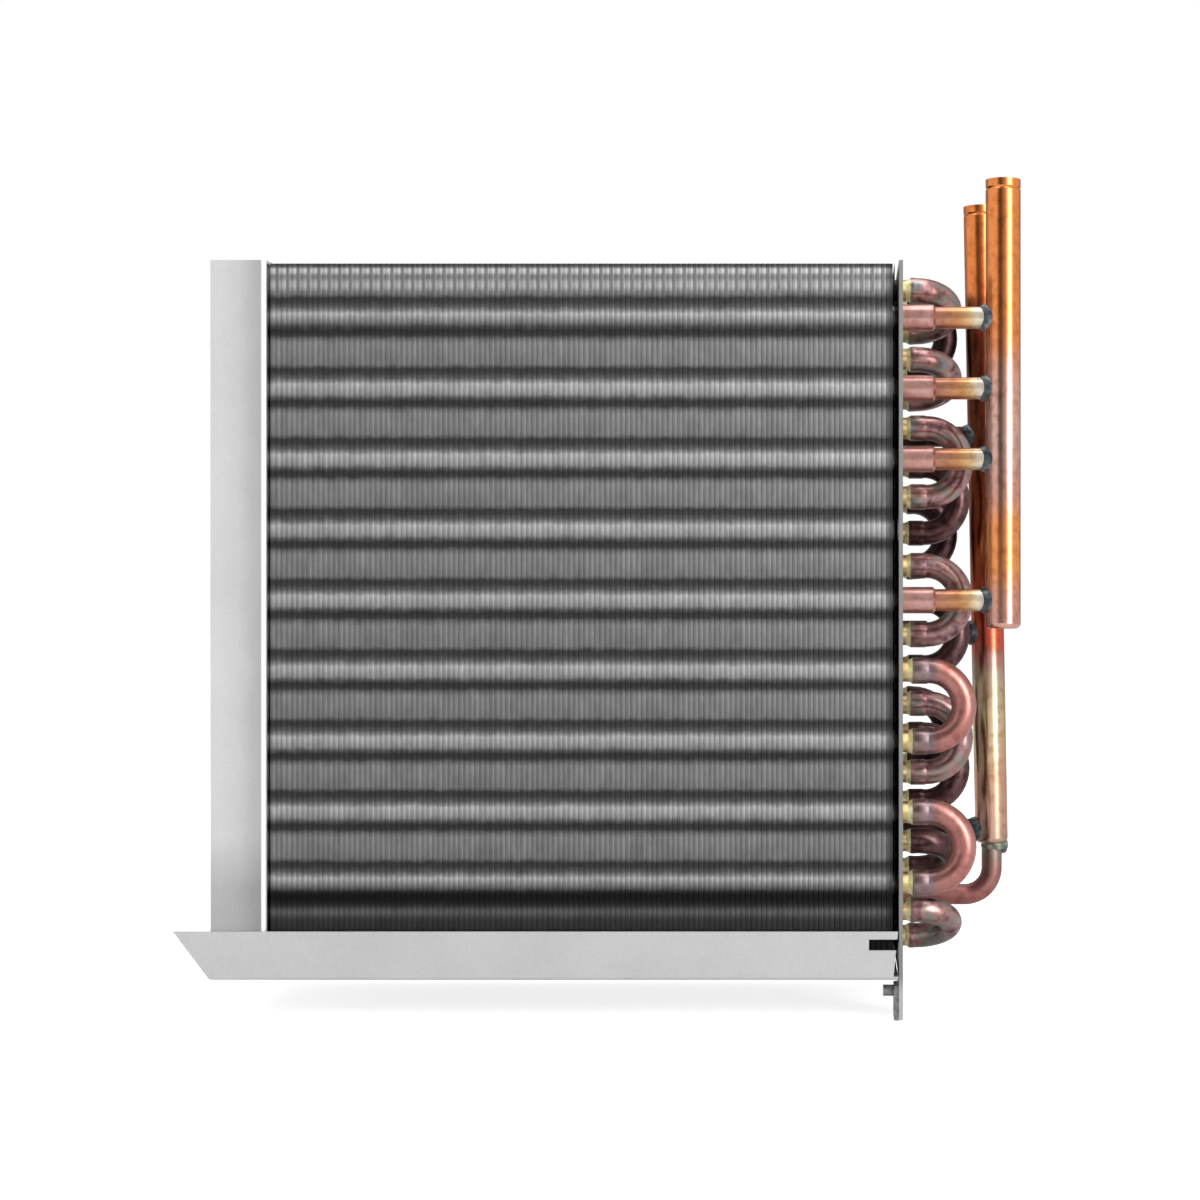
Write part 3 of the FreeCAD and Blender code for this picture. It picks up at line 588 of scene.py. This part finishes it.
def bent_tube(shape, ends, legs, steps, sides):
    """A leg along X, a half turn about Y and the same leg back, with the ends drawn as a profile."""
    top = Vector((0, 0, TUBE_PITCH / 2))
    edges = turned_profile(shape, ends, top, sides)
    made = bmesh.ops.extrude_edge_only(shape, edges=edges)["geom"]
    verts, edges = verts_and_edges(made)
    last, radius = ends[-1]
    bmesh.ops.translate(shape, verts=verts, vec=(legs - last, 0, 0))
    turned = bmesh.ops.spin(
        shape, geom=verts + edges, cent=(legs, 0, 0), axis=(0, 1, 0), angle=math.pi, steps=steps,
        use_merge=False,
    )["geom_last"]
    _, edges = verts_and_edges(turned)
    follow_profile(shape, edges, [(legs, radius)] + ends[::-1], -top)


def seat_between(shape, first, second, across, turned_left):
    """Move a bend that was made about the origin onto its two tubes."""
    middle = (tube_middle(*first) + tube_middle(*second)) / 2
    apart = tube_middle(*second) - tube_middle(*first)
    lean = Matrix.Rotation(math.atan2(-apart.y, apart.z), 4, "X")
    about = Matrix.Rotation(math.pi if turned_left else 0, 4, "Z")
    place = Matrix.Translation((across, middle.y, middle.z)) @ lean @ about
    bmesh.ops.transform(shape, matrix=place, verts=shape.verts)


def tubes_of(node):
    """The two tubes that a node's name gives, as pairs of row and place."""
    numbers = [int(word[1:]) for word in node.split("_") if word[1:].isdigit()]
    return (numbers[0], numbers[1]), (numbers[2], numbers[3])


def header_axis(node, height):
    """X of a header's axis at a height; the rear one leans a little towards the fins."""
    low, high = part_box(node)
    if node == "front_header":
        return (low[0] + high[0]) / 2
    risen = (height - low[2]) / (high[2] - low[2])
    bottom, top = high[0] - HEADER_RADIUS, low[0] + HEADER_RADIUS
    return bottom + (top - bottom) * risen


# Pieces


def fin_sheet(shape):
    """One waved fin about X 0, as deep and high as the fin pack."""
    depth = (PACK_HIGH.y - PACK_LOW.y) / MM
    inner = (depth - 2 * sum(EDGE_WAVES)) / INNER_WAVES
    waves = EDGE_WAVES + [inner] * INNER_WAVES + EDGE_WAVES[::-1]
    last = shape.verts.new((-WAVE_HEIGHT, PACK_LOW.y, PACK_LOW.z))
    edges = []
    for number, length in enumerate(waves):
        made = bmesh.ops.extrude_vert_indiv(shape, verts=[last])
        edges += made["edges"]
        last = made["verts"][0]
        last.co = (WAVE_HEIGHT * (-1 if number % 2 else 1), last.co.y + length * MM, last.co.z)
    for low, high in zip(FIN_CUTS, FIN_CUTS[1:]):
        made = bmesh.ops.extrude_edge_only(shape, edges=edges)["geom"]
        raised, edges = verts_and_edges(made)
        bmesh.ops.translate(shape, verts=raised, vec=(0, 0, (high - low) * MM))
    bmesh.ops.solidify(shape, geom=shape.faces[:], thickness=FIN_SHEET)


def seat_fin(verts, number):
    """Move a fin to its place, flat if it is the first or last one and else a little bent along its edges."""
    place = PACK_LOW.x + 0.2 * MM + FIN_PITCH * number
    for vert in verts:
        if number in (0, FIN_COUNT - 1):
            vert.co.x = place + math.copysign(FIN_SHEET / 2, vert.co.x)
            continue
        to_edge = min(vert.co.y - PACK_LOW.y, PACK_HIGH.y - vert.co.y)
        bend = noise.noise(Vector((number * 0.83, vert.co.z * 90, vert.co.y * 25)))
        vert.co.x += place + EDGE_BEND * bend * max(0.0, 1 - to_edge / BENT_DEPTH)


def make_fins():
    """Thin waved fins at their real spacing."""
    shape = bmesh.new()
    fin_sheet(shape)
    one = shape.verts[:] + shape.edges[:] + shape.faces[:]
    for number in range(FIN_COUNT):
        copied = one
        if number < FIN_COUNT - 1:
            copied = bmesh.ops.duplicate(shape, geom=one)["geom"]
        seat_fin([item for item in copied if isinstance(item, bmesh.types.BMVert)], number)
    finish_piece("fins", shape, FIN, ["fin_pack"], crease=20)


def make_collars():
    """The fins' collars, which line up to a sleeve round each tube place."""
    left, right = PACK_LOW.x + 0.3 * MM, PACK_HIGH.x - 0.1 * MM
    inside, outside = TUBE_RADIUS + 0.06 * MM, TUBE_RADIUS + 0.3 * MM
    profile = [(left, inside), (left, outside), (right, outside), (right, inside)]
    for row in ROWS:
        shape = bmesh.new()
        for place in range(LAST_PLACE + 1):
            turned_profile(shape, profile, tube_middle(row, place), sides=24)
        finish_piece(f"collars_{row}", shape, COLLAR)


def make_hairpins():
    """Each hairpin as one round tube: leg, half turn on the left, leg, with a chamfered open end."""
    right_end = SOCKETS_START + IN_SOCKET
    legs = right_end - PLATE_FACE + 0.15 * MM
    ends = [(0.0, TUBE_RADIUS - 0.7 * MM), (0.0, TUBE_RADIUS - 0.1 * MM), (0.3 * MM, TUBE_RADIUS)]
    for node in nodes_named("hairpin"):
        first, second = tubes_of(node)
        shape = bmesh.new()
        bent_tube(shape, ends, legs, steps=18, sides=20)
        seat_between(shape, first, second, right_end, turned_left=True)
        finish_piece(node.replace("hairpin", "tube"), shape, HAIRPIN_COPPER, [node])


def bend_copper(first):
    """The copper of the row that a bend starts in; the bend from tube 8 of row 2 lies behind another and gets
    row 3's darker copper as painted shade.
    """
    row = 3 if first == (2, 8) else first[0]
    return (FIRST_BEND_COPPER, SECOND_BEND_COPPER, THIRD_BEND_COPPER, REAR_BEND_COPPER)[row - 1]


def make_return_bends():
    """Each return bend as a round tube with a swaged socket at both ends."""
    for node in nodes_named("return_bend"):
        first, second = tubes_of(node)
        long = first[0] == second[0] and first[0] < 4
        leg, socket, waist = LONG_ENDS if long else SHORT_ENDS
        ends = [
            (0.1 * MM, TUBE_RADIUS - 0.2 * MM), (0.0, TUBE_RADIUS + 0.15 * MM),
            (0.0, FITTING_RADIUS - 0.15 * MM), (0.25 * MM, FITTING_RADIUS),
            (socket, FITTING_RADIUS), (socket + 0.6 * MM, FITTING_RADIUS - waist),
        ]
        shape = bmesh.new()
        bent_tube(shape, ends, max(leg, ends[-1][0] + 0.1 * MM), steps=22, sides=28)
        seat_between(shape, first, second, SOCKETS_START, turned_left=False)
        finish_piece(node.replace("return_bend", "bend"), shape, bend_copper(first), [node])


def make_joint_rings():
    """The pale filler metal round each tube end between the tube sheet and its return bend."""
    shape = bmesh.new()
    for node in nodes_named("return_bend"):
        for row, place in tubes_of(node):
            wobble = 0.25 * MM * noise.noise(Vector((row * 3.1, place * 1.7, 0.4)))
            profile = [
                (SOCKETS_START - 1.5 * MM + wobble, TUBE_RADIUS + 0.02 * MM),
                (SOCKETS_START - 0.7 * MM, TUBE_RADIUS + 0.2 * MM),
                (SOCKETS_START - 0.15 * MM, TUBE_RADIUS + 0.62 * MM),
                (SOCKETS_START + 0.2 * MM, TUBE_RADIUS + 0.72 * MM),
            ]
            turned_profile(shape, profile, tube_middle(row, place), sides=24)
    finish_piece("joint_rings", shape, PALE_BRAZE)


def header_ring(shape, header, middle):
    """A saddle of filler metal round a feeder that enters a header at the height of middle."""
    before = len(shape.verts)
    turned_profile(shape, [
        (-2.2 * MM, TUBE_RADIUS + 0.02 * MM), (-1.7 * MM, TUBE_RADIUS + 0.3 * MM),
        (-1.1 * MM, TUBE_RADIUS + 0.62 * MM), (-0.4 * MM, TUBE_RADIUS + 0.84 * MM),
        (0.3 * MM, TUBE_RADIUS + 0.9 * MM), (0.9 * MM, TUBE_RADIUS + 0.76 * MM),
    ], middle, sides=40)
    shape.verts.ensure_lookup_table()
    centre = header_axis(header, middle.z)
    for vert in shape.verts[before:]:
        side = vert.co.y - middle.y
        surface = centre - math.sqrt(HEADER_RADIUS ** 2 - side ** 2)
        lump = 0.18 * MM * noise.noise(vert.co * LUMPS)
        vert.co.x += surface
        vert.co += (vert.co - Vector((vert.co.x, middle.y, middle.z))).normalized() * lump


def make_header_rings():
    """The dark filler metal where the feeders enter their headers."""
    for name, row in (("front", 1), ("rear", 4)):
        shape = bmesh.new()
        for node in nodes_named(name + "_feeder"):
            low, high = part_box(node)
            header_ring(shape, name + "_header", Vector((0, row_depth(row), (low[2] + high[2]) / 2)))
        finish_piece(name + "_header_rings", shape, RING_BRAZE, crease=60)


def make_pinch():
    """The solder that closes the rear header's lower end round the supply tube, with its ear to the right."""
    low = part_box("rear_header")[0]
    centre = Vector((header_axis("rear_header", low[2]), row_depth(4), low[2]))
    shape = bmesh.new()
    # Offset from the header's lower end and reach along the axes, in millimetres
    lumps = [
        ((0.6, 0, -1.2), (4.6, 4.8, 2.4)),
        ((4.2, 0, -1.0), (2.3, 1.8, 3.0)),
        ((1.4, -1.4, -0.6), (3.6, 3.6, 2.8)),
    ]
    for offset, size in lumps:
        verts = bmesh.ops.create_icosphere(shape, subdivisions=3, radius=1)["verts"]
        bmesh.ops.scale(shape, verts=verts, vec=[value * MM for value in size])
        bmesh.ops.translate(shape, verts=verts, vec=centre + Vector(offset) * MM)
    for vert in shape.verts:
        vert.co += (vert.co - centre).normalized() * 0.7 * MM * noise.noise(vert.co * LUMPS)
        vert.co.x = min(vert.co.x, cad_box[1][0] - 0.05 * MM)
    finish_piece("header_pinch", shape, GREY_BRAZE, crease=60)


def dress_nodes(finish, nodes):
    """Give nodes of the frame, which stay as they are, a finish of their own."""
    for node in nodes:
        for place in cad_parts[node].material_slots:
            place.material = finish


make_fins()
make_collars()
make_hairpins()
make_return_bends()
make_joint_rings()
make_header_rings()
make_pinch()
dress_nodes(FLANGE_SHEET, ["left_end_plate"])
dress_nodes(ANGLE_SHEET, ["bottom_angle"])
dress_nodes(TUBE_SHEET, ["right_tube_sheet"])
dress_nodes(STEEL, ["nut_plate"])
dress_nodes(FRONT_HEADER_COPPER, ["front_header"])
dress_nodes(REAR_HEADER_COPPER, ["rear_header"])
dress_nodes(SUPPLY_COPPER, ["supply_tube"])
dress_nodes(FEEDER_COPPER, nodes_named("front_feeder"))
dress_nodes(REAR_FEEDER_COPPER, nodes_named("rear_feeder"))


# Studio: white floor and surroundings, soft lamps and the camera

# Light of the walls that metal mirrors, as pairs of turn and level: 0 and 1 lie behind the coil, 0.25 on
# its left, 0.5 on the camera's side and 0.75 on its right, with a bright window from 0.57 to 0.64
MIRRORED_WALLS = [
    (0.0, 0.15), (0.15, 0.14), (0.2, 0.32), (0.375, 0.33), (0.41, 0.05), (0.465, 0.04), (0.495, 0.15),
    (0.55, 0.24), (0.57, 0.95), (0.64, 0.95), (0.67, 0.3), (0.8, 0.28), (0.9, 0.14), (1.0, 0.15),
]
MIRRORED_STRENGTH = 2.8
SOFT_STRENGTH = 0.36
WHITE = (1, 1, 1, 1)

# The floor, in metres, and how far the camera sees it lifted to white, less the faint shadow
FLOOR_REACH = 4
BELOW_COIL = 0.3 * MM
FLOOR_GLOW = 0.74

# The photograph's view: level, square on to the fins, from in front of their right part
CAMERA_PLACE = (91.9 * MM, -856 * MM, EYE_LEVEL)
LENS = 68.6
LENS_SHIFT = -0.2


def seen_by_camera(owner, rays):
    """1 where the camera looks, also through clear pieces."""
    return sums(owner, "MAXIMUM", rays.outputs["Is Camera Ray"], rays.outputs["Is Transmission Ray"])


def glow(room, strength):
    node = step(room, "ShaderNodeBackground")
    node.inputs["Color"].default_value = WHITE
    node.inputs["Strength"].default_value = strength
    return node


def mix_light(room, factor, first, second):
    node = step(room, "ShaderNodeMixShader")
    for socket, term in zip(node.inputs, (factor, first, second)):
        join(room, term, socket)
    return node.outputs["Shader"]


def make_room():
    """Surroundings that are white to the camera, even and soft as light, and walls with a window to metal."""
    room = bpy.data.worlds.new("white_room")
    room.use_nodes = True
    room.node_tree.nodes.clear()
    bpy.context.scene.world = room
    where = step(room, "ShaderNodeTexCoord")
    apart = step(room, "ShaderNodeSeparateXYZ")
    join(room, where.outputs["Generated"], apart.inputs["Vector"])
    to_camera = sums(room, "MULTIPLY", apart.outputs["Y"], -1)
    turn = share(room, sums(room, "ARCTAN2", apart.outputs["X"], to_camera), -math.pi, math.pi)
    walls = colours(room, turn, [(place, (level, level, level, 1)) for place, level in MIRRORED_WALLS])
    mirrored = glow(room, MIRRORED_STRENGTH)
    join(room, walls, mirrored.inputs["Color"])
    soft, white = glow(room, SOFT_STRENGTH), glow(room, 1)
    rays = step(room, "ShaderNodeLightPath")
    lit = mix_light(
        room, rays.outputs["Is Glossy Ray"], soft.outputs["Background"], mirrored.outputs["Background"]
    )
    shown = mix_light(room, seen_by_camera(room, rays), lit, white.outputs["Background"])
    join(room, shown, step(room, "ShaderNodeOutputWorld").inputs["Surface"])


def make_floor():
    """A white floor just below the coil, which keeps its shadow."""
    shape = bmesh.new()
    bmesh.ops.create_grid(shape, x_segments=1, y_segments=1, size=FLOOR_REACH)
    bmesh.ops.translate(shape, verts=shape.verts, vec=(0, 0, cad_box[0][2] - BELOW_COIL))
    finish = new_finish("white_floor", metallic=0.0, roughness=0.9)
    surface_input(finish, "Base Color").default_value = (0.9, 0.9, 0.9, 1)
    surface_input(finish, "Specular IOR Level").default_value = 0.0
    surface_input(finish, "Emission Color").default_value = WHITE
    seen = seen_by_camera(finish, step(finish, "ShaderNodeLightPath"))
    join(finish, sums(finish, "MULTIPLY", seen, FLOOR_GLOW), surface_input(finish, "Emission Strength"))
    floor = to_object("floor", shape, finish)


def lamp(name, place, aim, size, power, mirrored=True):
    """A soft lamp, in metres and watts, which metal mirrors or not."""
    data = bpy.data.lights.new(name, "AREA")
    data.shape = "RECTANGLE"
    data.size, data.size_y = size
    data.energy = power
    light = bpy.data.objects.new(name, data)
    light.visible_glossy = mirrored
    light.location = place
    light.rotation_euler = (Vector(aim) - Vector(place)).to_track_quat("-Z", "Y").to_euler()
    bpy.context.scene.collection.objects.link(light)


def make_camera():
    data = bpy.data.cameras.new("photo_camera")
    data.sensor_width = 36
    data.lens = LENS
    data.shift_x = LENS_SHIFT
    data.clip_start = 0.01
    camera = bpy.data.objects.new("photo_camera", data)
    camera.location = CAMERA_PLACE
    camera.rotation_euler = (math.pi / 2, 0, 0)
    bpy.context.scene.collection.objects.link(camera)
    bpy.context.scene.camera = camera


make_room()
make_floor()
lamp("key", (-0.5, -1.3, 1.1), (0, 0, 0.12), (0.9, 0.9), 12, mirrored=False)
lamp("right_strip", (1.1, -1.1, 0.45), (0.14, 0, 0.15), (0.5, 1.2), 9)
lamp("top", (0.0, 0.1, 1.5), (0, 0, 0.1), (1.2, 1.2), 8)
make_camera()
bpy.context.scene.view_settings.view_transform = "Standard"
